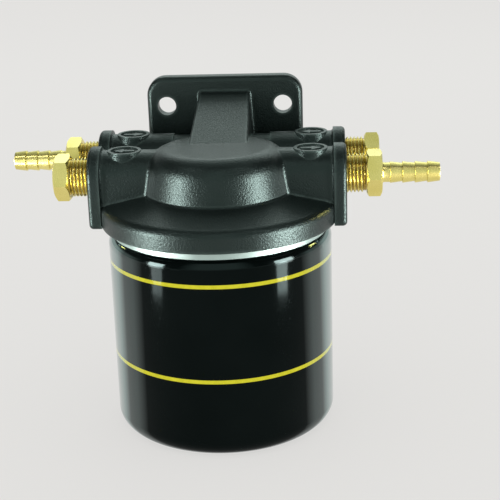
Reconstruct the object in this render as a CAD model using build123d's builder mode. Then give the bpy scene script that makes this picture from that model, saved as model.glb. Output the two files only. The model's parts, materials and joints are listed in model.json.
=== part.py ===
from build123d import *
import os
from math import cos, pi, radians, sin, tan

# Spin-on fuel filter. Millimetres, +Z up, origin on the canister's axis at the face it stands on.
# The ports run along X and the bracket's mounting face looks along +Y.

os.makedirs("parts", exist_ok=True)

# Canister
can_radius = 47.0
can_height = 90.4
sheet = 0.8
base_corner = 7.0
base_bead_inner = 14.0
base_bead_outer = 29.0
base_bead_height = 1.2
base_bead_corner = 1.5
neck_step = 1.7
seam_height = 5.0
shoulder_rise = 4.4
sheet_gap = 0.05
sheet_bend = 0.8

# Retainer and gasket
gasket_inner = 31.0
gasket_outer = 36.0
gasket_height = 5.0
gasket_groove_depth = 2.0
gasket_side_gap = 0.6
seam_bend = 0.3

# Tapping plate, threaded 1 inch by 14 turns an inch
nipple_thread_radius = 12.7
thread_pitch = 25.4 / 14
unscrew_turns = 4.5
running_gap = 0.05
tapping_plate_thickness = 3.2
tapping_boss_wall = 3.3
tapping_boss_depth = 4.4
tapping_edge = 0.6
tapping_boss_root = 1.0
inlet_hole_count = 8
inlet_hole_radius = 2.75
inlet_hole_ring_radius = 22.0

# Filter element
flow_gap = 5.2
seal_inner_gap = 0.3
seal_wall = 3.8
seal_height = 6.4
cap_rim_height = 3.5
cap_bend = 0.7
centre_tube_radius = 18.2
centre_tube_wall = 0.8
tube_hole_radius = 3.0
tube_hole_rows = 4
tube_hole_columns = 6
pleat_count = 40
pleat_rim_gap = 0.4
pleat_tube_gap = 0.6
pleat_sheet = 0.7
spring_wire = 1.8
spring_turns = 3
spring_height = 10.2

# Bell and dome of the head
skirt_gap = 1.1
skirt_wall = 3.1
skirt_depth = 4.5
skirt_edge = 0.5
rim_rise = 4.1
rim_edge = 3.8
crown_rise = 8.5
dome_radius = 31.1
dome_draft = 10.4
dome_cap = 1.3
dome_edge = 9.0
dome_foot = 1.5
bell_core = 4.0
bell_core_inset = 0.05

# Fuel ways inside the head
nipple_boss_wall = 5.75
nipple_seat_depth = 7.8
nipple_wall = 4.2
chamber_lip = 2.5
chamber_depth = 6.6
gallery_radius = 5.5
inlet_drop_radius = 4.0

# Ports, ducts and end plates
port_rise = 14.0
port_spacing = 29.4
port_thread_radius = 8.1
port_depth = 16.0
duct_radius = 11.0
duct_draft = 3.0
duct_crest_half = 0.85
duct_root = 2.0
waist_step = 0.7
waist_half_length = 21.0
waist_root = 1.5
plate_reach = 3.9
plate_thickness = 5.2
plate_lip = 1.7
plate_drop = 5.5
plate_corner = 2.0
plate_root = 1.2
plate_edge = 1.8
pad_radius = 7.0
pad_setback = 9.5
pad_rise = 0.3
pad_foot = 5.5
pad_draft = 15.0
pad_rim = 1.3
pad_recess = 0.8

# Bracket
bracket_clearance = 1.5
bracket_thickness = 6.0
bracket_width = 70.0
bracket_top_rise = 45.7
bracket_corner = 8.5
bracket_edge = 2.3
bracket_hole_radius = 4.15
bracket_hole_spacing = 52.2
bracket_hole_drop = 13.0
tongue_foot_y = 5.0
tongue_foot_half = 12.35
tongue_head_half = 11.3
tongue_head_drop = 6.7
tongue_draft = 2.0
tongue_bottom_rise = 2.8
tongue_edge = 1.0

# Brass fittings
fitting_exposed = 8.3
fitting_engaged = 12.0
hex_across_flats = 17.4
hex_thickness = 6.3
hex_chamfer = 1.5
hex_chamfer_angle = 30.0
thread_lead = 1.0
neck_radius = 4.1
neck_length = 3.3
barb_count = 4
barb_pitch = 5.1
barb_crest = 4.45
barb_root = 3.85
barb_bore = 2.8
plug_bore = 5.0

# Levels and radii worked out from the sizes above
seam_radius = can_radius - neck_step
seam_bottom = can_height - seam_height
neck_outer = seam_radius - sheet - sheet_gap
neck_inner = neck_outer - sheet
shoulder_z = seam_bottom - sheet_gap - shoulder_rise
retainer_top = can_height - gasket_groove_depth
tapping_top = retainer_top - sheet
tapping_bottom = tapping_top - tapping_plate_thickness
tapping_bore = nipple_thread_radius + running_gap
tapping_boss = tapping_bore + tapping_boss_wall
nipple_bottom = tapping_top - unscrew_turns * thread_pitch
cap_radius = can_radius - sheet - flow_gap
cap_top = tapping_bottom - seal_height
pleat_outer = cap_radius - sheet - pleat_rim_gap
pleat_inner = centre_tube_radius + pleat_tube_gap
spring_radius = (base_bead_inner + base_bead_outer) / 2
spring_bottom = base_bead_height + sheet
lower_cap_bottom = spring_bottom + spring_height
face_z = retainer_top + gasket_height
skirt_z = face_z - skirt_depth
skirt_inner = seam_radius + skirt_gap
flange_radius = skirt_inner + skirt_wall
rim_z = face_z + rim_rise
crown_z = face_z + crown_rise
port_z = face_z + port_rise
dome_top = port_z + duct_radius + dome_cap
rear_y = port_spacing
waist_radius = duct_radius - waist_step
plate_face = flange_radius + plate_reach
plate_inner = plate_face - plate_thickness
plate_lobe = duct_radius + plate_lip
bracket_front = flange_radius + bracket_clearance
bracket_back = bracket_front + bracket_thickness
bracket_top = face_z + bracket_top_rise
bracket_hole_z = bracket_top - bracket_hole_drop
nipple_bore = nipple_thread_radius - nipple_wall
nipple_boss = nipple_thread_radius + running_gap + nipple_boss_wall
chamber_outer = gasket_inner - chamber_lip


# Canister shell: one drawn sheet, with a pressed bead in its base and a drawn-in neck
with BuildPart() as can_shell:
    with BuildSketch(Plane.XZ):
        with BuildLine():
            wall = FilletPolyline(
                (0, 0),
                (base_bead_inner, 0),
                (base_bead_inner + base_bead_height, base_bead_height),
                (base_bead_outer - base_bead_height, base_bead_height),
                (base_bead_outer, 0),
                (can_radius, 0),
                (can_radius, shoulder_z),
                radius=[base_bead_corner] * 4 + [base_corner],
            )
            shoulder = TangentArc(wall @ 1, (neck_outer, seam_bottom - sheet_gap), tangent=(0, 1))
            Line(shoulder @ 1, (neck_outer, can_height - sheet - sheet_gap))
            offset(amount=sheet, side=Side.LEFT)
        make_face()
    revolve(axis=Axis.Z)
can_shell.part.label = "can_shell"
export_step(can_shell.part, "parts/can_shell.step")

# Retainer: gasket groove, flat rim and the leg of the seam that shows outside the shell's neck
with BuildPart() as retainer_plate:
    groove_inner = gasket_inner - gasket_side_gap
    groove_outer = gasket_outer + gasket_side_gap
    with BuildSketch(Plane.XZ):
        with BuildLine():
            FilletPolyline(
                (groove_inner - sheet, can_height - sheet / 2),
                (groove_inner - sheet, tapping_top),
                (groove_outer + sheet, tapping_top),
                (groove_outer + sheet, can_height - sheet),
                (seam_radius - sheet, can_height - sheet),
                (seam_radius - sheet, seam_bottom),
                (seam_radius, seam_bottom),
                (seam_radius, can_height),
                (groove_outer, can_height),
                (groove_outer, retainer_top),
                (groove_inner, retainer_top),
                (groove_inner, can_height - sheet / 2),
                radius=[0, sheet_bend, sheet_bend, seam_bend, 0, 0, 0, sheet_bend, sheet_bend, 0, 0, 0],
                close=True,
            )
        make_face()
    revolve(axis=Axis.Z)
retainer_plate.part.label = "retainer_plate"
export_step(retainer_plate.part, "parts/retainer_plate.step")

# Tapping plate: thick disc with the threaded boss and the ring of inlet holes
with BuildPart() as tapping_plate:
    with BuildSketch(Plane.XZ):
        with BuildLine():
            FilletPolyline(
                (tapping_bore, tapping_top),
                (tapping_bore, tapping_bottom - tapping_boss_depth),
                (tapping_boss, tapping_bottom - tapping_boss_depth),
                (tapping_boss, tapping_bottom),
                (neck_inner - sheet_gap, tapping_bottom),
                (neck_inner - sheet_gap, tapping_top),
                radius=[tapping_edge, tapping_edge, tapping_boss_root, 0, tapping_edge, tapping_edge],
                close=True,
            )
        make_face()
    revolve(axis=Axis.Z)
    with Locations(Plane.XY.offset(tapping_top)):
        with PolarLocations(inlet_hole_ring_radius, inlet_hole_count):
            Hole(inlet_hole_radius)
tapping_plate.part.label = "tapping_plate"
export_step(tapping_plate.part, "parts/tapping_plate.step")

# Gasket: square-cut ring, pinched between its groove and the head
with BuildPart() as can_gasket:
    with BuildSketch(Plane.XY.offset(retainer_top)):
        Circle(gasket_outer)
        Circle(gasket_inner, mode=Mode.SUBTRACT)
    extrude(amount=gasket_height)
can_gasket.part.label = "can_gasket"
export_step(can_gasket.part, "parts/can_gasket.step")

# Element seal: rubber ring round the tapping plate's boss, on the upper end cap
with BuildPart() as element_seal:
    with BuildSketch(Plane.XY.offset(cap_top)):
        Circle(tapping_boss + seal_inner_gap + seal_wall)
        Circle(tapping_boss + seal_inner_gap, mode=Mode.SUBTRACT)
    extrude(amount=seal_height)
element_seal.part.label = "element_seal"
export_step(element_seal.part, "parts/element_seal.step")

# Upper end cap: rim turned down over the pleats, collar turned down into the centre tube
tube_inner = centre_tube_radius - centre_tube_wall
collar_outer = tube_inner - sheet_gap
with BuildPart() as upper_end_cap:
    with BuildSketch(Plane.XZ):
        with BuildLine():
            FilletPolyline(
                (collar_outer - sheet, cap_top),
                (collar_outer - sheet, cap_top - cap_rim_height),
                (collar_outer, cap_top - cap_rim_height),
                (collar_outer, cap_top - sheet),
                (cap_radius - sheet, cap_top - sheet),
                (cap_radius - sheet, cap_top - cap_rim_height),
                (cap_radius, cap_top - cap_rim_height),
                (cap_radius, cap_top),
                radius=[cap_bend, 0, 0, 0, 0, 0, 0, cap_bend],
                close=True,
            )
        make_face()
    revolve(axis=Axis.Z)
upper_end_cap.part.label = "upper_end_cap"
export_step(upper_end_cap.part, "parts/upper_end_cap.step")

# Lower end cap: closed dish under the element
with BuildPart() as lower_end_cap:
    with BuildSketch(Plane.XZ):
        with BuildLine():
            FilletPolyline(
                (0, lower_cap_bottom),
                (cap_radius, lower_cap_bottom),
                (cap_radius, lower_cap_bottom + cap_rim_height),
                (cap_radius - sheet, lower_cap_bottom + cap_rim_height),
                (cap_radius - sheet, lower_cap_bottom + sheet),
                (0, lower_cap_bottom + sheet),
                radius=[0, cap_bend, 0, 0, 0, 0],
                close=True,
            )
        make_face()
    revolve(axis=Axis.Z)
lower_end_cap.part.label = "lower_end_cap"
export_step(lower_end_cap.part, "parts/lower_end_cap.step")

# Centre tube: perforated, between the two end caps
media_bottom = lower_cap_bottom + sheet
media_top = cap_top - sheet
tube_length = media_top - media_bottom
row_pitch = tube_length / tube_hole_rows
with BuildPart() as centre_tube:
    with BuildSketch(Plane.XY.offset(media_bottom)):
        Circle(centre_tube_radius)
        Circle(tube_inner, mode=Mode.SUBTRACT)
    extrude(amount=tube_length)
    for row in range(tube_hole_rows):
        turn = 180 / tube_hole_columns * (row % 2)
        level = media_bottom + row_pitch * (row + 0.5)
        for column in range(tube_hole_columns // 2):
            heading = turn + 360 / tube_hole_columns * column
            side = Plane(origin=(0, 0, level), z_dir=(cos(radians(heading)), sin(radians(heading)), 0))
            with BuildSketch(side):
                Circle(tube_hole_radius)
            extrude(amount=centre_tube_radius * 2, both=True, mode=Mode.SUBTRACT)
centre_tube.part.label = "centre_tube"
export_step(centre_tube.part, "parts/centre_tube.step")

# Filter media: one pleated sheet, folded round the centre tube
pleat_step = 2 * pi / pleat_count
leg_run = pleat_outer - pleat_inner
fold = pleat_sheet * leg_run / (pi * (pleat_outer + pleat_inner) / (2 * pleat_count))


def folded_line(tip, valley):
    corners = []
    for pleat in range(pleat_count):
        heading = pleat * pleat_step
        corners.append((tip * cos(heading), tip * sin(heading)))
        corners.append((valley * cos(heading + pleat_step / 2), valley * sin(heading + pleat_step / 2)))
    return corners


with BuildPart() as filter_media:
    with BuildSketch(Plane.XY.offset(media_bottom)):
        with BuildLine():
            Polyline(*folded_line(pleat_outer, pleat_inner + fold), close=True)
        make_face()
        with BuildLine():
            Polyline(*folded_line(pleat_outer - fold, pleat_inner), close=True)
        make_face(mode=Mode.SUBTRACT)
    extrude(amount=tube_length)
filter_media.part.label = "filter_media"
export_step(filter_media.part, "parts/filter_media.step")

# Spring: round wire coil with ground ends, from the base bead to the lower end cap
with BuildPart() as element_spring:
    coil_rise = spring_height - spring_wire
    with BuildLine():
        coil = Helix(
            pitch=coil_rise / spring_turns,
            height=coil_rise,
            radius=spring_radius,
            center=(0, 0, spring_bottom + spring_wire / 2),
        )
    with BuildSketch(Plane(origin=coil @ 0, z_dir=coil % 0)):
        Circle(spring_wire / 2)
    sweep(is_frenet=True)
element_spring.part.label = "element_spring"
export_step(element_spring.part, "parts/element_spring.step")

# Nipple: hollow threaded pipe between the head and the tapping plate
nipple_top = face_z + nipple_seat_depth - running_gap
with BuildPart() as threaded_nipple:
    with BuildSketch(Plane.XY.offset(nipple_bottom)):
        Circle(nipple_thread_radius)
        Circle(nipple_bore, mode=Mode.SUBTRACT)
    extrude(amount=nipple_top - nipple_bottom)
    chamfer(threaded_nipple.edges().filter_by(GeomType.CIRCLE).group_by(SortBy.RADIUS)[-1], thread_lead)
threaded_nipple.part.label = "threaded_nipple"
export_step(threaded_nipple.part, "parts/threaded_nipple.step")


# Head: one casting
duct_reach = plate_inner + plate_thickness / 2
duct_top_half = duct_radius - (duct_radius + port_z - rim_z) * tan(radians(duct_draft))
duct_top_radius = (duct_top_half - duct_crest_half) * tan(radians(45 + duct_draft / 2))
valley = rear_y / 2 - plate_lobe
dome_slope = tan(radians(dome_draft))
bell_core_radius = dome_radius - bell_core_inset
pad_top = port_z + duct_radius + pad_rise
with BuildPart() as filter_head:
    # Dome
    with BuildSketch(Plane.XZ):
        with BuildLine():
            FilletPolyline(
                (0, dome_top),
                (dome_radius - (dome_top - crown_z) * dome_slope, dome_top),
                (dome_radius + (crown_z - rim_z) * dome_slope, rim_z),
                (0, rim_z),
                radius=[0, dome_edge, 0, 0],
                close=True,
            )
        make_face()
    revolve(axis=Axis.Z)

    # Front ducts: a round crest on drafted sides, blended into the dome
    with BuildSketch(Plane.YZ):
        with BuildLine():
            FilletPolyline(
                (-duct_radius, rim_z),
                (-duct_top_half, port_z + duct_radius),
                (duct_top_half, port_z + duct_radius),
                (duct_radius, rim_z),
                radius=[0, duct_top_radius, duct_top_radius, 0],
                close=True,
            )
        make_face()
    extrude(amount=duct_reach, both=True)
    fillet(filter_head.edges(Select.NEW), duct_root)

    # Rear gallery: one round tube with a waist behind the dome
    with BuildSketch(Plane.YZ):
        with Locations((rear_y, port_z)):
            Circle(waist_radius)
    extrude(amount=plate_inner, both=True)
    fillet(filter_head.edges(Select.NEW), waist_root)
    for side in (-1, 1):
        with BuildSketch(Plane.YZ.offset(side * waist_half_length)):
            with Locations((rear_y, port_z)):
                Circle(duct_radius)
        extrude(amount=side * (duct_reach - waist_half_length))

    # End plates with a lobe round each port
    for side in (-1, 1):
        with BuildSketch(Plane.YZ.offset(side * plate_inner)):
            with Locations((0, port_z), (rear_y, port_z)):
                Circle(plate_lobe)
            with Locations((-plate_lobe, face_z - plate_drop)):
                Rectangle(
                    2 * plate_lobe + rear_y, port_rise + plate_drop, align=(Align.MIN, Align.MIN)
                )
            fillet(vertices().group_by(Axis.Y)[0], plate_corner)
            between_lobes = vertices().filter_by_position(Axis.X, rear_y / 2 - valley, rear_y / 2 + valley)
            fillet(between_lobes, valley * 0.95)
        extrude(amount=side * plate_thickness)
        fillet(filter_head.edges(Select.NEW), plate_root)
        outer_face = filter_head.faces().sort_by(Axis.X)[0 if side < 0 else -1]
        fillet(outer_face.outer_wire().edges(), plate_edge)

    # Bell: sloping top, rounded rim and the skirt that hides the canister's seam
    with BuildSketch(Plane.XZ):
        with BuildLine():
            FilletPolyline(
                (0, crown_z + bell_core),
                (bell_core_radius - bell_core * dome_slope, crown_z + bell_core),
                (bell_core_radius, crown_z),
                (flange_radius, rim_z),
                (flange_radius, skirt_z),
                (skirt_inner, skirt_z),
                (skirt_inner, face_z),
                (0, face_z),
                radius=[0, 0, dome_foot, rim_edge, skirt_edge, skirt_edge, skirt_edge, 0],
                close=True,
            )
        make_face()
    revolve(axis=Axis.Z)

    # Bracket plate, its front edge rounded all the way round
    with BuildSketch(Plane.XZ.offset(-bracket_back)):
        with Locations((0, bracket_top)):
            RectangleRounded(
                bracket_width, bracket_top - rim_z, bracket_corner, align=(Align.CENTER, Align.MAX)
            )
        with Locations((0, bracket_hole_z)):
            with GridLocations(bracket_hole_spacing, 0, 2, 1):
                Circle(bracket_hole_radius, mode=Mode.SUBTRACT)
    extrude(amount=bracket_thickness)
    plate_front = filter_head.faces(Select.LAST).sort_by(Axis.Y)[0]
    fillet(plate_front.outer_wire().edges(), bracket_edge)

    # Tongue: sloping rib from the dome up to the bracket, wider at its root
    tongue_bottom = rim_z + tongue_bottom_rise
    tongue_top = bracket_top - tongue_head_drop
    with BuildSketch(Plane.XZ.offset(-tongue_foot_y)):
        Polygon(
            (-tongue_foot_half, dome_top),
            (tongue_foot_half, dome_top),
            (tongue_foot_half + tongue_draft, tongue_bottom),
            (-tongue_foot_half - tongue_draft, tongue_bottom),
            align=None,
        )
    with BuildSketch(Plane.XZ.offset(-bracket_front)):
        Polygon(
            (-tongue_head_half, tongue_top),
            (tongue_head_half, tongue_top),
            (tongue_head_half + tongue_draft, tongue_bottom),
            (-tongue_head_half - tongue_draft, tongue_bottom),
            align=None,
        )
    loft(ruled=True)
    tongue_edges = filter_head.edges(Select.LAST).filter_by(
        lambda edge: abs(edge.bounding_box().max.Z - tongue_top) < 0.01
    )
    fillet(tongue_edges, tongue_edge)

    # Pads on the ducts, each with a drafted foot and a rim round a shallow recess
    for side in (-1, 1):
        for y in (0, rear_y):
            with BuildSketch(Plane.XY.offset(pad_top - pad_foot)):
                with Locations((side * (plate_inner - pad_setback), y)):
                    Circle(pad_radius + pad_foot * tan(radians(pad_draft)))
            extrude(amount=pad_foot, taper=pad_draft)
            with BuildSketch(Plane.XY.offset(pad_top)):
                with Locations((side * (plate_inner - pad_setback), y)):
                    Circle(pad_radius - pad_rim)
            extrude(amount=-pad_recess, mode=Mode.SUBTRACT)

    # Fuel ways: raw fuel ring, nipple seat and its way up, the two galleries and the tapped ports
    with BuildSketch(Plane.XY.offset(face_z)):
        Circle(chamber_outer)
        Circle(nipple_boss, mode=Mode.SUBTRACT)
    extrude(amount=chamber_depth, mode=Mode.SUBTRACT)
    with BuildSketch(Plane.XY.offset(face_z)):
        Circle(nipple_thread_radius + running_gap)
    extrude(amount=nipple_seat_depth, mode=Mode.SUBTRACT)
    with BuildSketch(Plane.XY.offset(face_z)):
        Circle(nipple_bore)
        with Locations((0, (nipple_boss + chamber_outer) / 2)):
            Circle(inlet_drop_radius)
    extrude(amount=port_rise, mode=Mode.SUBTRACT)
    with BuildSketch(Plane.YZ):
        with Locations((0, port_z), (rear_y, port_z)):
            Circle(gallery_radius)
    extrude(amount=plate_face, both=True, mode=Mode.SUBTRACT)
    for side in (-1, 1):
        with BuildSketch(Plane.YZ.offset(side * plate_face)):
            with Locations((0, port_z), (rear_y, port_z)):
                Circle(port_thread_radius + running_gap)
        extrude(amount=-side * port_depth, mode=Mode.SUBTRACT)
filter_head.part.label = "filter_head"
export_step(filter_head.part, "parts/filter_head.step")


# Brass fittings, screwed into the four ports
hex_corner = hex_across_flats / 2 / cos(radians(30))
chamfer_run = hex_chamfer * tan(radians(hex_chamfer_angle))
hex_start = fitting_exposed
hex_end = hex_start + hex_thickness
barb_start = hex_end + neck_length


def fitting_planes(side, y, turn):
    """Profile plane along the port's axis, and plane across it with the hexagon's turn."""
    face = (side * plate_face, y, port_z)
    along = Plane(origin=face, x_dir=(side, 0, 0), z_dir=(0, -side, 0))
    flat = (0, -cos(radians(turn)), sin(radians(turn)))
    across = Plane(origin=face, x_dir=flat, z_dir=(side, 0, 0))
    return along, across


def hexagon_nut(along, across):
    """Hexagon with its corners turned off at both faces."""
    with BuildSketch(across.offset(hex_start)) as hexagon:
        RegularPolygon(hex_across_flats / 2, 6, major_radius=False, rotation=30)
    extrude(hexagon.sketch, amount=hex_thickness)
    with BuildSketch(along) as turned:
        with BuildLine():
            Polyline(
                (hex_start, 0),
                (hex_start, hex_corner - hex_chamfer),
                (hex_start + chamfer_run, hex_corner),
                (hex_end - chamfer_run, hex_corner),
                (hex_end, hex_corner - hex_chamfer),
                (hex_end, 0),
                close=True,
            )
        make_face()
    revolve(turned.sketch, axis=Axis(along.origin, along.x_dir), mode=Mode.INTERSECT)


# Hose fittings: hexagon, threaded shank, and a row of barbs that taper away from the hexagon
for name, side, y, turn in (
    ("inlet_hose_fitting", -1, rear_y, 16.5),
    ("outlet_hose_fitting", 1, 0, 27.0),
):
    along, across = fitting_planes(side, y, turn)
    with BuildPart() as hose_fitting:
        hexagon_nut(along, across)
        with BuildSketch(along):
            with BuildLine():
                outline = [
                    (-fitting_engaged, 0),
                    (-fitting_engaged, port_thread_radius - thread_lead),
                    (-fitting_engaged + thread_lead, port_thread_radius),
                    (hex_start, port_thread_radius),
                    (hex_start + hex_thickness / 2, port_thread_radius),
                    (hex_start + hex_thickness / 2, neck_radius),
                    (barb_start, neck_radius),
                ]
                for barb in range(barb_count):
                    outline.append((barb_start + barb * barb_pitch, barb_crest))
                    outline.append((barb_start + (barb + 1) * barb_pitch, barb_root))
                outline.append((barb_start + barb_count * barb_pitch, 0))
                Polyline(*outline, close=True)
            make_face()
        revolve(axis=Axis(along.origin, along.x_dir))
        with BuildSketch(across.offset(-fitting_engaged)):
            Circle(barb_bore)
        extrude(amount=fitting_engaged + barb_start + barb_count * barb_pitch, mode=Mode.SUBTRACT)
    hose_fitting.part.label = name
    export_step(hose_fitting.part, f"parts/{name}.step")

# Plugs: hexagon and threaded shank, cored from the inner end
for name, side, y, turn in (
    ("outlet_port_plug", -1, 0, 21.6),
    ("inlet_port_plug", 1, rear_y, 1.5),
):
    along, across = fitting_planes(side, y, turn)
    with BuildPart() as port_plug:
        hexagon_nut(along, across)
        with BuildSketch(along):
            with BuildLine():
                Polyline(
                    (-fitting_engaged, plug_bore),
                    (-fitting_engaged, port_thread_radius - thread_lead),
                    (-fitting_engaged + thread_lead, port_thread_radius),
                    (hex_start + hex_thickness / 2, port_thread_radius),
                    (hex_start + hex_thickness / 2, 0),
                    (hex_start - thread_lead, 0),
                    (hex_start - thread_lead, plug_bore),
                    close=True,
                )
            make_face()
        revolve(axis=Axis(along.origin, along.x_dir))
    port_plug.part.label = name
    export_step(port_plug.part, f"parts/{name}.step")
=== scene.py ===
import bpy
import bmesh
import json
from math import cos, floor, pi, radians, sin, tan
from mathutils import Matrix, Vector


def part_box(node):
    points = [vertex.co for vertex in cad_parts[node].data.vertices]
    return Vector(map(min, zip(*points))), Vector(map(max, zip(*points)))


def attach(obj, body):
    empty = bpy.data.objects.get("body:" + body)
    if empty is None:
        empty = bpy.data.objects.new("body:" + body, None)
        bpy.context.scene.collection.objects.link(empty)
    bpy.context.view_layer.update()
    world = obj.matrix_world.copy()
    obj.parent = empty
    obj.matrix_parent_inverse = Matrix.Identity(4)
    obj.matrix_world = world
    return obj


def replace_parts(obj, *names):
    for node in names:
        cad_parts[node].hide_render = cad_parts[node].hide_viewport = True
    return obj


# Fuel filter: a finish for every solid, brass fittings with cut threads, and flow arrows on the pads

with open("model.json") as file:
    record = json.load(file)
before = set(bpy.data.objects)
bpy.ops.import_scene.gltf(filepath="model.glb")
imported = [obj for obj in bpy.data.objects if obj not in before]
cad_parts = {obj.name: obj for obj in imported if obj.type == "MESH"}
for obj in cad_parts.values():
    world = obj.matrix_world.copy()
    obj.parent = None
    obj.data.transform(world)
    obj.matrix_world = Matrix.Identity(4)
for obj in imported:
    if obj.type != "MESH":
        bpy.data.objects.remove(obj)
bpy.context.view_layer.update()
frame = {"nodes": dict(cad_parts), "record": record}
mounts = {mount["name"]: mount["pos_m"] for mount in frame["record"]["mounts"]}
MM = 0.001

# Ports, in millimetres: they lie along X, in a front and a rear row
BARB_TIP = 38.3
FACE_X = mounts["outlet_barb"][0] / MM - BARB_TIP
PORT_Z = mounts["outlet_barb"][2] / MM
FRONT_Y = mounts["outlet_barb"][1] / MM
REAR_Y = mounts["inlet_barb"][1] / MM

# Print on the canister
PRINTED_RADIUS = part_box("can_shell")[1][0] / MM - 0.5
UPPER_STRIPE = 74.7
LOWER_STRIPE = 34.2
STRIPE_HALF = 0.76
STRIPE_FADE = 0.1

# Brass fittings: x runs outwards from the face of the end plate
POINTS_ROUND = 120
SHARP_ANGLE = radians(28)
ENGAGED = 12.0
THREAD_CREST = 8.1
THREAD_ROOT = 7.25
THREAD_PITCH = 1.5
ROOT_FLAT = 0.12
CREST_FLAT = 0.16
ROUNDING = 0.35
THREAD_STEP = 0.15
RUN_IN = 1.2
UNDERCUT = 0.5
HEX_START = 8.3
HEX_END = 14.6
HEX_FLAT = 8.7
HEX_CORNER = HEX_FLAT / cos(radians(30))
CORNER_TURNED_OFF = 1.5
CONE_SLOPE = tan(radians(30))

# Hose barbs; a few rings along the bore keep its faces short
BORE = 2.8
BORE_RINGS = (30.0, 20.0, 8.0, -4.0)
NECK_RADIUS = 4.1
NECK_LENGTH = 3.3
BARB_COUNT = 4
BARB_PITCH = 5.1
BARB_CREST = 4.45
BARB_ROOT = 3.85

# Plugs: hollow from the inside, and closed under the hexagon but for a pinhole, where the rings meet
PLUG_HOLLOW = 5.0
PLUG_HOLLOW_RINGS = (4.0, -2.0, -8.0, -ENGAGED)
PLUG_HOLLOW_END = HEX_START - 1.0
PINHOLE = 0.05
PINHOLE_STEP = 3.0

# Flow arrows: each layer has its height over the floor of the pad's recess, and how much it grows
PAD_X = FACE_X - 14.7
PAD_FLOOR = PORT_Z + 10.5
ARROW_TAIL = -4.3
ARROW_NECK = 0.4
ARROW_TIP = 4.5
SHAFT_HALF = 0.95
HEAD_HALF = 2.7
ARROW_LAYERS = ((-0.25, 0.12), (0.45, 0.06), (0.62, -0.10))


class Nodes:
    """A node tree with short calls for the node kinds used below."""

    def __init__(self, tree):
        self.tree = tree
        self.tree.nodes.clear()

    def feed(self, socket, value):
        """Links another node's output, or sets a plain value."""
        if isinstance(value, bpy.types.NodeSocket):
            self.tree.links.new(value, socket)
        else:
            socket.default_value = value

    def add(self, kind, inputs=(), **settings):
        node = self.tree.nodes.new(kind)
        for name, value in settings.items():
            setattr(node, name, value)
        for key, value in dict(inputs).items():
            self.feed(node.inputs[key], value)
        return node

    def math(self, operation, a, b=None, clamp=False):
        inputs = {0: a} if b is None else {0: a, 1: b}
        return self.add("ShaderNodeMath", inputs, operation=operation, use_clamp=clamp).outputs[0]

    def vector(self, operation, a, b=None):
        inputs = {0: a} if b is None else {0: a, 1: b}
        return self.add("ShaderNodeVectorMath", inputs, operation=operation)

    def split(self, vector):
        return self.add("ShaderNodeSeparateXYZ", {0: vector}).outputs

    def length(self, components):
        """Length of the vector that has these components, each under the number of its axis."""
        joined = self.add("ShaderNodeCombineXYZ", components).outputs[0]
        return self.vector("LENGTH", joined).outputs["Value"]

    def normal(self):
        return self.add("ShaderNodeNewGeometry").outputs["Normal"]

    def place(self, scale=(1, 1, 1)):
        where = self.add("ShaderNodeTexCoord").outputs["Object"]
        if scale == (1, 1, 1):
            return where
        return self.add("ShaderNodeMapping", {"Vector": where, "Scale": scale}).outputs[0]

    def noise(self, scale, detail=2.0, rough=0.5, at=None):
        inputs = {"Vector": at or self.place(), "Scale": scale, "Detail": detail, "Roughness": rough}
        return self.add("ShaderNodeTexNoise", inputs).outputs["Fac"]

    def span(self, value, low, high, to_low=0.0, to_high=1.0):
        """Maps low to to_low and high to to_high, and goes no further beyond them."""
        inputs = {0: value, 1: low, 2: high, 3: to_low, 4: to_high}
        return self.add("ShaderNodeMapRange", inputs, clamp=True).outputs[0]

    def blend(self, factor, a, b):
        return self.add("ShaderNodeMix", {0: factor, 6: a, 7: b}, data_type="RGBA").outputs[2]

    def bump(self, height, distance):
        inputs = {"Height": height, "Distance": distance, "Strength": 1.0}
        return self.add("ShaderNodeBump", inputs).outputs[0]

    def edges(self, radius, low=0.012, high=0.12):
        """1 along the edges, 0 on the faces: how far a rounded normal leans from the real one."""
        rounded = self.add("ShaderNodeBevel", {"Radius": radius}, samples=6).outputs[0]
        lean = self.vector("DOT_PRODUCT", rounded, self.normal()).outputs["Value"]
        return self.span(self.math("SUBTRACT", 1.0, lean), low, high)


def tone(r, g, b):
    return (r, g, b, 1.0)


def surface(name, build, **constants):
    """A principled material: constants go on the shader's own sockets, build links the rest."""
    made = bpy.data.materials.new(name)
    made.use_nodes = True
    nodes = Nodes(made.node_tree)
    shader = nodes.add("ShaderNodeBsdfPrincipled", constants)
    for socket, value in build(nodes).items():
        nodes.tree.links.new(value, shader.inputs[socket])
    nodes.add("ShaderNodeOutputMaterial", {"Surface": shader.outputs[0]})
    return made


def casting(n):
    """Black pebbled coating with a fine grain, paler along convex and concave edges from wear and a
    painted edge highlight.
    """
    cloud = n.noise(38.0, 3.0)
    grain = n.noise(2300.0, 1.0)
    pebbles = n.noise(1350.0)
    patchy = n.span(n.noise(240.0, 3.0), 0.30, 0.62, 0.45, 1.0)
    # Pale band along every edge and fillet, in patches: partly edge wear, partly a painted highlight.
    edge_wear_and_highlight = n.math("MULTIPLY", n.edges(2.4 * MM, 0.010, 0.12), patchy)
    cloudy = n.span(cloud, 0.35, 0.65)
    dark = n.blend(cloudy, tone(0.0012, 0.0030, 0.0026), tone(0.0030, 0.0056, 0.0050))
    satin = n.span(cloud, 0.3, 0.7, 0.33, 0.38)
    height = n.math("ADD", pebbles, n.math("MULTIPLY", grain, 0.45))
    return {
        "Base Color": n.blend(n.math("MULTIPLY", edge_wear_and_highlight, 0.80), dark, tone(0.074, 0.106, 0.096)),
        "Roughness": n.math("ADD", satin, n.span(grain, 0.3, 0.7, -0.05, 0.06)),
        "Normal": n.bump(height, 0.13 * MM),
    }


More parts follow.
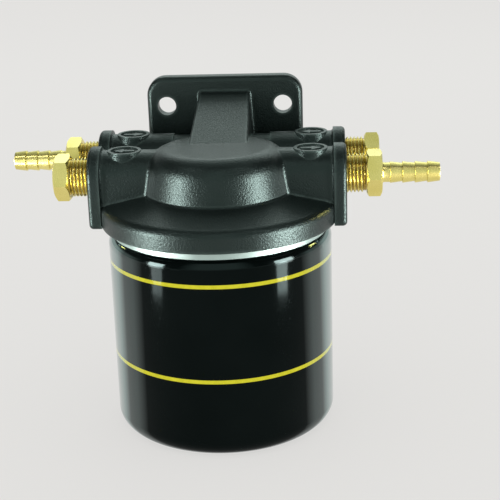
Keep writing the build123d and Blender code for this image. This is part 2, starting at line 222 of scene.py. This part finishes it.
def stripes(n):
    """1 on the two printed stripes, which are on the outer face alone."""
    x, y, z = n.split(n.place())
    bands = []
    for height in (UPPER_STRIPE, LOWER_STRIPE):
        off = n.math("ABSOLUTE", n.math("SUBTRACT", z, height * MM))
        bands.append(n.span(off, STRIPE_HALF * MM, (STRIPE_HALF + STRIPE_FADE) * MM, 1.0, 0.0))
    outside = n.math("GREATER_THAN", n.length({0: x, 1: y}), PRINTED_RADIUS * MM)
    return n.math("MULTIPLY", n.math("MAXIMUM", bands[0], bands[1]), outside)


def enamel_gloss(n):
    """Specular level and clear coat, low where a wall faces the eye and high where it turns away.

    The normal is tilted up and down, so that the wall doesn't turn away from an eye that is higher.
    """
    sides = []
    for tilt in (0.5, -0.5):
        tilted = n.vector("ADD", n.normal(), (0, 0, tilt)).outputs[0]
        tilted = n.vector("NORMALIZE", tilted).outputs[0]
        sides.append(n.add("ShaderNodeLayerWeight", {"Blend": 0.5, "Normal": tilted}).outputs["Facing"])
    slant = n.math("MINIMUM", sides[0], sides[1])
    turning = n.span(slant, 0.27, 0.36, 0.07, 0.9)
    flank = n.span(slant, 0.44, 0.55, 0.07, 4.2)
    upward = n.span(n.split(n.normal())[2], 0.08, 0.22, 0.0, 0.30)
    level = n.math("MAXIMUM", n.math("MAXIMUM", turning, flank), upward)
    return level, n.span(slant, 0.465, 0.59)


def enamel(n):
    """Black gloss enamel with a trace of dust, and yellow stripes that stand slightly proud."""
    stripe = stripes(n)
    cloud = n.noise(30.0)
    cloudy = n.span(cloud, 0.35, 0.65)
    black = n.blend(cloudy, tone(0.0010, 0.0022, 0.0021), tone(0.0022, 0.0038, 0.0036))
    inked = n.span(n.noise(420.0), 0.3, 0.7)
    ink = n.blend(inked, tone(0.68, 0.64, 0.030), tone(0.78, 0.73, 0.042))
    dust = n.span(n.noise(1500.0, 1.0), 0.60, 0.80, 0.0, 0.14)
    wave = n.math("ADD", n.noise(260.0, 1.0), n.math("MULTIPLY", stripe, 0.6))
    level, coat = enamel_gloss(n)
    return {
        "Base Color": n.blend(stripe, black, ink),
        "Roughness": n.math("ADD", n.span(cloud, 0.3, 0.7, 0.07, 0.11), dust),
        "Specular IOR Level": level,
        "Coat Weight": coat,
        "Normal": n.bump(wave, 0.01 * MM),
    }


def bare_metal(n, bright, dull, smooth, rough, depth, stretch, grime=None):
    """Bare metal with tool marks: stretch squeezes the noise into fine lines across one axis."""
    cloud = n.noise(70.0, 3.0)
    lines = n.noise(1.0, 2.0, 0.6, n.place(stretch))
    rubbed = tone(*[min(1.0, c * 1.12) for c in bright])
    colour = n.blend(n.span(cloud, 0.32, 0.68), tone(*dull), tone(*bright))
    colour = n.blend(n.math("MULTIPLY", n.edges(0.4 * MM), 0.35), colour, rubbed)
    if grime is not None:
        colour = n.blend(n.math("MULTIPLY", grime, 0.75), colour, tone(0.36, 0.23, 0.07))
    clouded = n.span(cloud, 0.3, 0.7, smooth, rough)
    return {
        "Base Color": colour,
        "Roughness": n.math("ADD", clouded, n.span(lines, 0.3, 0.7, -0.03, 0.05)),
        "Normal": n.bump(lines, depth * MM),
    }


def thread_grime(n):
    """1 in the grooves of the threads, which lie near a port's axis and inside of the hexagon."""
    x, y, z = n.split(n.place())
    reach = []
    for row_y in (FRONT_Y, REAR_Y):
        across = n.math("SUBTRACT", y, row_y * MM)
        above = n.math("SUBTRACT", z, PORT_Z * MM)
        reach.append(n.length({1: across, 2: above}))
    nearest = n.math("MINIMUM", reach[0], reach[1])
    groove = n.span(nearest, (THREAD_ROOT - 0.05) * MM, (THREAD_CREST - 0.1) * MM, 1.0, 0.0)
    threaded = n.math("LESS_THAN", n.math("ABSOLUTE", x), (FACE_X + HEX_START - 0.1) * MM)
    return n.math("MULTIPLY", groove, threaded)


def brass(n):
    bright = (0.92, 0.80, 0.29)
    dull = (0.80, 0.68, 0.20)
    return bare_metal(n, bright, dull, 0.22, 0.30, 0.004, (9000.0, 420.0, 420.0), thread_grime(n))


def plated(n):
    return bare_metal(n, (0.41, 0.51, 0.47), (0.34, 0.43, 0.40), 0.42, 0.52, 0.010, (500.0, 500.0, 5200.0))


def tinplate(n):
    return bare_metal(n, (0.74, 0.74, 0.72), (0.60, 0.60, 0.59), 0.24, 0.34, 0.008, (380.0, 380.0, 3800.0))


def spring_steel(n):
    return bare_metal(n, (0.42, 0.42, 0.43), (0.26, 0.26, 0.27), 0.30, 0.42, 0.010, (900.0, 900.0, 900.0))


def rubber(n):
    cloud = n.noise(90.0, 3.0)
    bloom = n.math("MULTIPLY", n.edges(0.5 * MM), 0.4)
    dark = n.blend(n.span(cloud, 0.35, 0.65), tone(0.012, 0.012, 0.012), tone(0.024, 0.024, 0.023))
    return {
        "Base Color": n.blend(bloom, dark, tone(0.060, 0.060, 0.058)),
        "Roughness": n.span(cloud, 0.3, 0.7, 0.60, 0.78),
        "Normal": n.bump(n.noise(2200.0), 0.03 * MM),
    }


def paper(n):
    fibre = n.noise(1.0, 4.0, 0.65, n.place((900.0, 900.0, 260.0)))
    pale = n.blend(n.span(fibre, 0.30, 0.70), tone(0.70, 0.58, 0.36), tone(0.86, 0.77, 0.56))
    return {
        "Base Color": n.blend(n.span(n.noise(60.0), 0.2, 1.0), pale, tone(0.62, 0.48, 0.27)),
        "Roughness": n.span(fibre, 0.3, 0.7, 0.78, 0.92),
        "Normal": n.bump(fibre, 0.06 * MM),
    }


coating_tint = {"Specular Tint": tone(0.74, 1.0, 0.93)}
enamel_tint = {"Specular Tint": tone(0.74, 1.0, 0.97), "Coat Roughness": 0.06}
finish = {
    "black_casting": surface("black_casting", casting, **coating_tint),
    "black_enamel": surface("black_enamel", enamel, **enamel_tint),
    "plated_steel": surface("plated_steel", plated, Metallic=1.0),
    "tinplate": surface("tinplate", tinplate, Metallic=1.0),
    "spring_steel": surface("spring_steel", spring_steel, Metallic=1.0),
    "turned_brass": surface("turned_brass", brass, Metallic=1.0),
    "black_rubber": surface("black_rubber", rubber),
    "filter_paper": surface("filter_paper", paper),
}
for subpart in frame["record"]["subparts"]:
    cad = frame["nodes"][subpart["node"]]
    cad.data.materials.clear()
    cad.data.materials.append(finish[subpart["material_slot"]])


def band(work, low, high):
    """Faces between two closed loops that have the same number of points."""
    for i in range(len(low)):
        j = (i + 1) % len(low)
        work.faces.new((low[i], low[j], high[j], high[i]))


def new_piece(name, work, slot):
    """An object made of the finished mesh, with the slot's material."""
    mesh = bpy.data.meshes.new(name)
    bmesh.ops.recalc_face_normals(work, faces=work.faces)
    work.to_mesh(mesh)
    work.free()
    mesh.materials.append(finish[slot])
    piece = bpy.data.objects.new(name, mesh)
    bpy.context.scene.collection.objects.link(piece)
    return piece


# Brass fittings: one closed skin each, from a stack of rings round the port's axis
angles = [2 * pi * i / POINTS_ROUND for i in range(POINTS_ROUND)]


def ramp(value, low, high):
    return min(1.0, max(0.0, (value - low) / (high - low)))


def round_rings(profile):
    """A ring for each point (x, radius) of a turned profile."""
    return [[(x, radius)] * POINTS_ROUND for x, radius in profile]


def thread_radius(x, angle):
    """60 degree thread with flat crests and rounded roots; it fades out at both ends."""
    phase = x / THREAD_PITCH - angle / (2 * pi)
    rise = ramp(abs(phase - floor(phase) - 0.5) * 2, ROOT_FLAT, 1 - CREST_FLAT)
    eased = rise * rise * (3 - 2 * rise)
    share = ROUNDING * eased + (1 - ROUNDING) * rise
    last = HEX_START - UNDERCUT
    fade = ramp(x, -ENGAGED, RUN_IN - ENGAGED) * (1 - ramp(x, last - UNDERCUT, last))
    return THREAD_ROOT + (THREAD_CREST - THREAD_ROOT) * share * fade


def thread_rings():
    length = ENGAGED + HEX_START
    steps = int(length / THREAD_STEP)
    rings = []
    for i in range(steps + 1):
        x = -ENGAGED + length * i / steps
        rings.append([(x, thread_radius(x, a)) for a in angles])
    return rings


def hexagon_rings():
    """Hexagon whose corners are turned off by a cone at both ends."""
    low = HEX_CORNER - CORNER_TURNED_OFF
    rings = []
    for end, inwards, shares in ((HEX_START, 1, (0.0, 0.5, 1.0)), (HEX_END, -1, (1.0, 0.5, 0.0))):
        for share in shares:
            ring = []
            for a in angles:
                from_flat = (a + pi / 6) % (pi / 3) - pi / 6
                rise = share * (HEX_FLAT / cos(from_flat) - low)
                ring.append((end + inwards * rise * CONE_SLOPE, low + rise))
            rings.append(ring)
    return rings + round_rings([(HEX_END, low - 0.05)])


def hose_fitting():
    """Thread, hexagon and neck, then the barbs: each steps up to its crest and tapers to its root."""
    first_barb = HEX_END + NECK_LENGTH
    neck = [
        (HEX_END, NECK_RADIUS + 0.8),
        (HEX_END + 0.25, NECK_RADIUS + 0.25),
        (HEX_END + 0.8, NECK_RADIUS),
        (first_barb - 0.05, NECK_RADIUS),
    ]
    barb = [
        (0.0, BARB_CREST - 0.07),
        (0.08, BARB_CREST),
        (0.45, BARB_CREST - 0.03),
        (BARB_PITCH - 0.4, BARB_ROOT + 0.03),
        (BARB_PITCH - 0.05, BARB_ROOT),
    ]
    barbs = []
    for i in range(BARB_COUNT):
        barbs += [(first_barb + BARB_PITCH * i + x, radius) for x, radius in barb]
    mouth = [
        (BARB_TIP - 0.03, BARB_ROOT - 0.01),
        (BARB_TIP, BARB_ROOT - 0.13),
        (BARB_TIP, BORE + 0.15),
        (BARB_TIP - 0.15, BORE),
    ]
    bore = [(x, BORE) for x in BORE_RINGS]
    threaded = round_rings([(-ENGAGED, BORE)]) + thread_rings() + hexagon_rings()
    return threaded + round_rings(neck + barbs + mouth + bore)


def port_plug():
    """Thread and hexagon round a hollow, and a flat outer end."""
    hollow = [
        (PLUG_HOLLOW_END, PINHOLE),
        (PLUG_HOLLOW_END, PLUG_HOLLOW - 0.2),
        (PLUG_HOLLOW_END - 0.2, PLUG_HOLLOW),
    ]
    hollow += [(x, PLUG_HOLLOW) for x in PLUG_HOLLOW_RINGS]
    outer_end = [(HEX_END, PLUG_HOLLOW), (HEX_END, PINHOLE), (HEX_END - PINHOLE_STEP, PINHOLE)]
    return round_rings(hollow) + thread_rings() + hexagon_rings() + round_rings(outer_end)


def skin(name, side, y, turn, rings):
    """Joins each ring to the next, and the last to the first, then puts the piece at its port."""
    work = bmesh.new()
    to_flat = Vector((0, -cos(radians(turn)), sin(radians(turn))))
    out = Vector((side, 0, 0))
    across = out.cross(to_flat)
    origin = Vector((side * FACE_X, y, PORT_Z))
    loops = []
    for ring in rings:
        loop = []
        for a, (x, radius) in zip(angles, ring):
            at = origin + out * x + (to_flat * cos(a) + across * sin(a)) * radius
            loop.append(work.verts.new(at * MM))
        loops.append(loop)
    for k, loop in enumerate(loops):
        band(work, loop, loops[(k + 1) % len(loops)])
    bmesh.ops.remove_doubles(work, verts=work.verts, dist=1e-7)
    piece = new_piece(name, work, "turned_brass")
    piece.data.shade_smooth()
    piece.data.set_sharp_from_angle(angle=SHARP_ANGLE)
    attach(piece, "head")
    return piece


# Each fitting: its side, its row, how far its hexagon is turned, and its rings
for node, side, y, turn, rings in (
    ("inlet_hose_fitting", -1, REAR_Y, 16.5, hose_fitting()),
    ("outlet_hose_fitting", 1, FRONT_Y, 27.0, hose_fitting()),
    ("outlet_port_plug", -1, FRONT_Y, 21.6, port_plug()),
    ("inlet_port_plug", 1, REAR_Y, 1.5, port_plug()),
):
    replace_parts(skin("brass_" + node, side, y, turn, rings), node)


def arrow_outline(grow):
    """An arrow along x whose edges have moved out by grow."""
    tail = ARROW_TAIL - grow
    shaft = SHAFT_HALF + grow
    head = HEAD_HALF + grow
    one_side = [(tail, -shaft), (ARROW_NECK, -shaft), (ARROW_NECK, -head)]
    other_side = [(along, -wide) for along, wide in reversed(one_side)]
    return one_side + [(ARROW_TIP + grow, 0.0)] + other_side


def arrow(name, x, y, heading):
    """Raised from the floor of the recess, with drafted sides and a broken top edge."""
    work = bmesh.new()
    layers = []
    for z, grow in ARROW_LAYERS:
        layer = []
        for along, wide in arrow_outline(grow):
            at = Vector((x + heading * along, y + heading * wide, PAD_FLOOR + z))
            layer.append(work.verts.new(at * MM))
        layers.append(layer)
    for low, high in zip(layers, layers[1:]):
        band(work, low, high)
    work.faces.new(layers[-1])
    work.faces.new(list(reversed(layers[0])))
    piece = new_piece(name, work, "black_casting")
    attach(piece, "head")


# Fuel comes in at both rear ports and leaves at both front ports
for name, x, y, heading in (
    ("flow_arrow_front_left", -PAD_X, FRONT_Y, -1),
    ("flow_arrow_front_right", PAD_X, FRONT_Y, 1),
    ("flow_arrow_rear_left", -PAD_X, REAR_Y, 1),
    ("flow_arrow_rear_right", PAD_X, REAR_Y, -1),
):
    arrow(name, x, y, heading)


# Camera: fitted to the canister's stripes, sides and base
AIM = Vector((0, 0, UPPER_STRIPE * MM))
AZIMUTH = radians(4.767)
ELEVATION = radians(18.372)
DISTANCE = 0.5434
YAW = radians(1.3)
TILT = radians(-0.081)
ROLL = radians(-2.242)
FOCAL_PIXELS = 1278.88
IMAGE_WIDTH = 500.0
SENSOR = 36.0


def direction(azimuth, elevation):
    """Unit vector; azimuth is measured from the front, positive towards +X."""
    level = cos(elevation)
    return Vector((sin(azimuth) * level, -cos(azimuth) * level, sin(elevation)))


def rotated(a, b, angle):
    """Two axes rotated in their own plane, a towards b."""
    return a * cos(angle) + b * sin(angle), b * cos(angle) - a * sin(angle)


away = direction(AZIMUTH, ELEVATION)
forward = -away
right = forward.cross(Vector((0, 0, 1))).normalized()
up = right.cross(forward)
forward, right = rotated(forward, right, YAW)
forward, up = rotated(forward, up, TILT)
right, up = rotated(right, up, ROLL)
lens = bpy.data.cameras.new("camera")
lens.sensor_fit = "HORIZONTAL"
lens.sensor_width = SENSOR
lens.lens = FOCAL_PIXELS * SENSOR / IMAGE_WIDTH
lens.clip_start = 0.01
camera = bpy.data.objects.new("camera", lens)
bpy.context.scene.collection.objects.link(camera)
axes = Matrix((right, up, -forward)).transposed().to_4x4()
camera.matrix_world = Matrix.Translation(AIM + DISTANCE * away) @ axes
bpy.context.scene.camera = camera


# Floor and room
PALE = tone(0.768, 0.760, 0.745)
FLOOR_SIZE = 12.0
FLOOR_GLOW = 0.82


def seen(n):
    """1 for the rays that show the background: from the camera, off gloss and through glass."""
    path = n.add("ShaderNodeLightPath")
    shown = n.math("ADD", path.outputs["Is Camera Ray"], path.outputs["Is Glossy Ray"])
    return path, n.math("ADD", shown, path.outputs["Is Transmission Ray"], clamp=True)


def floor_paint():
    """Mostly its plain colour to the eye, and the rest is matt paint that shows the shadow."""
    paint = bpy.data.materials.new("floor_paint")
    paint.use_nodes = True
    n = Nodes(paint.node_tree)
    matt = n.add("ShaderNodeBsdfDiffuse", {"Color": PALE})
    glow = n.add("ShaderNodeEmission", {"Color": PALE, "Strength": 1.0})
    share = n.math("MULTIPLY", seen(n)[1], FLOOR_GLOW)
    mixed = n.add("ShaderNodeMixShader", {0: share, 1: matt.outputs[0], 2: glow.outputs[0]})
    n.add("ShaderNodeOutputMaterial", {"Surface": mixed.outputs[0]})
    return paint


def room_brightness(n):
    """Bright walls in front and behind, one more low down behind, dark sides and a dim ceiling."""
    x, y, z = n.split(n.add("ShaderNodeTexCoord").outputs["Generated"])
    turn = n.math("DIVIDE", y, n.math("MAXIMUM", n.length({0: x, 1: y}), 0.02))
    front = n.span(turn, -0.95, -0.78, 0.88, 0.05)
    back = n.span(turn, 0.78, 0.95, 0.05, 1.0)
    low_back = n.math("MULTIPLY", n.span(z, 0.18, 0.32, 0.70, 0.05), n.span(turn, -0.2, 0.2))
    walls = n.math("MAXIMUM", n.math("MAXIMUM", front, back), low_back)
    overhead = n.span(z, 0.78, 0.92)
    walls = n.math("MULTIPLY", walls, n.math("SUBTRACT", 1.0, overhead))
    ceiling = n.math("MULTIPLY", overhead, n.span(y, -0.10, 0.20, 0.08, 0.60))
    return n.math("ADD", walls, ceiling)


ground = bpy.data.meshes.new("floor")
work = bmesh.new()
bmesh.ops.create_grid(work, x_segments=1, y_segments=1, size=FLOOR_SIZE)
work.to_mesh(ground)
work.free()
ground.materials.append(floor_paint())
floor_piece = bpy.data.objects.new("floor", ground)
bpy.context.scene.collection.objects.link(floor_piece)

world = bpy.data.worlds.new("studio")
world.use_nodes = True
bpy.context.scene.world = world
n = Nodes(world.node_tree)
path, shown = seen(n)
room = n.blend(room_brightness(n), tone(0, 0, 0), tone(0.70, 0.79, 0.76))
backdrop = n.blend(path.outputs["Is Glossy Ray"], PALE, room)
colour = n.blend(shown, tone(1.0, 1.0, 0.99), backdrop)
background = n.add("ShaderNodeBackground", {"Color": colour})
n.add("ShaderNodeOutputWorld", {"Surface": background.outputs[0]})


# Lamps: soft boxes round the part; all but the one behind it show in its gloss alone
LAMP_AIM = Vector((0, 0, 0.085))
WHITE = (1, 1, 1)
COOL = (0.90, 1.0, 0.97)


def lamp(name, azimuth, elevation, distance, size, power, shape="ELLIPSE", colour=WHITE, gloss_only=True):
    data = bpy.data.lights.new(name, "AREA")
    data.shape = shape
    data.size, data.size_y = size
    data.energy = power
    data.color = colour
    piece = bpy.data.objects.new(name, data)
    bpy.context.scene.collection.objects.link(piece)
    piece.visible_camera = False
    piece.visible_diffuse = not gloss_only
    away = direction(radians(azimuth), radians(elevation))
    facing = away.to_track_quat("Z", "Y").to_matrix().to_4x4()
    piece.matrix_world = Matrix.Translation(LAMP_AIM + distance * away) @ facing


lamp("left_box", -60, 3, 0.38, (0.11, 0.20), 1.8, shape="RECTANGLE")
lamp("right_box", 66, 3, 0.38, (0.13, 0.20), 2.0, shape="RECTANGLE")
lamp("left_low", -58, -13, 0.24, (0.05, 0.11), 0.22)
lamp("right_low", 62, -13, 0.24, (0.05, 0.11), 0.42)
lamp("back_box", 175, 33, 1.1, (0.9, 0.36), 1.45, shape="RECTANGLE", colour=COOL, gloss_only=False)
lamp("top_strip", 178, 62, 1.0, (0.9, 0.14), 0.25, shape="RECTANGLE", colour=COOL)
lamp("left_glint", -60, 54, 1.0, (0.18, 0.10), 0.5)
lamp("right_glint", 58, 54, 1.0, (0.18, 0.10), 0.5)
lamp("front_glint", 6, 56, 1.0, (0.14, 0.035), 0.16)

bpy.context.scene.view_settings.view_transform = "Standard"
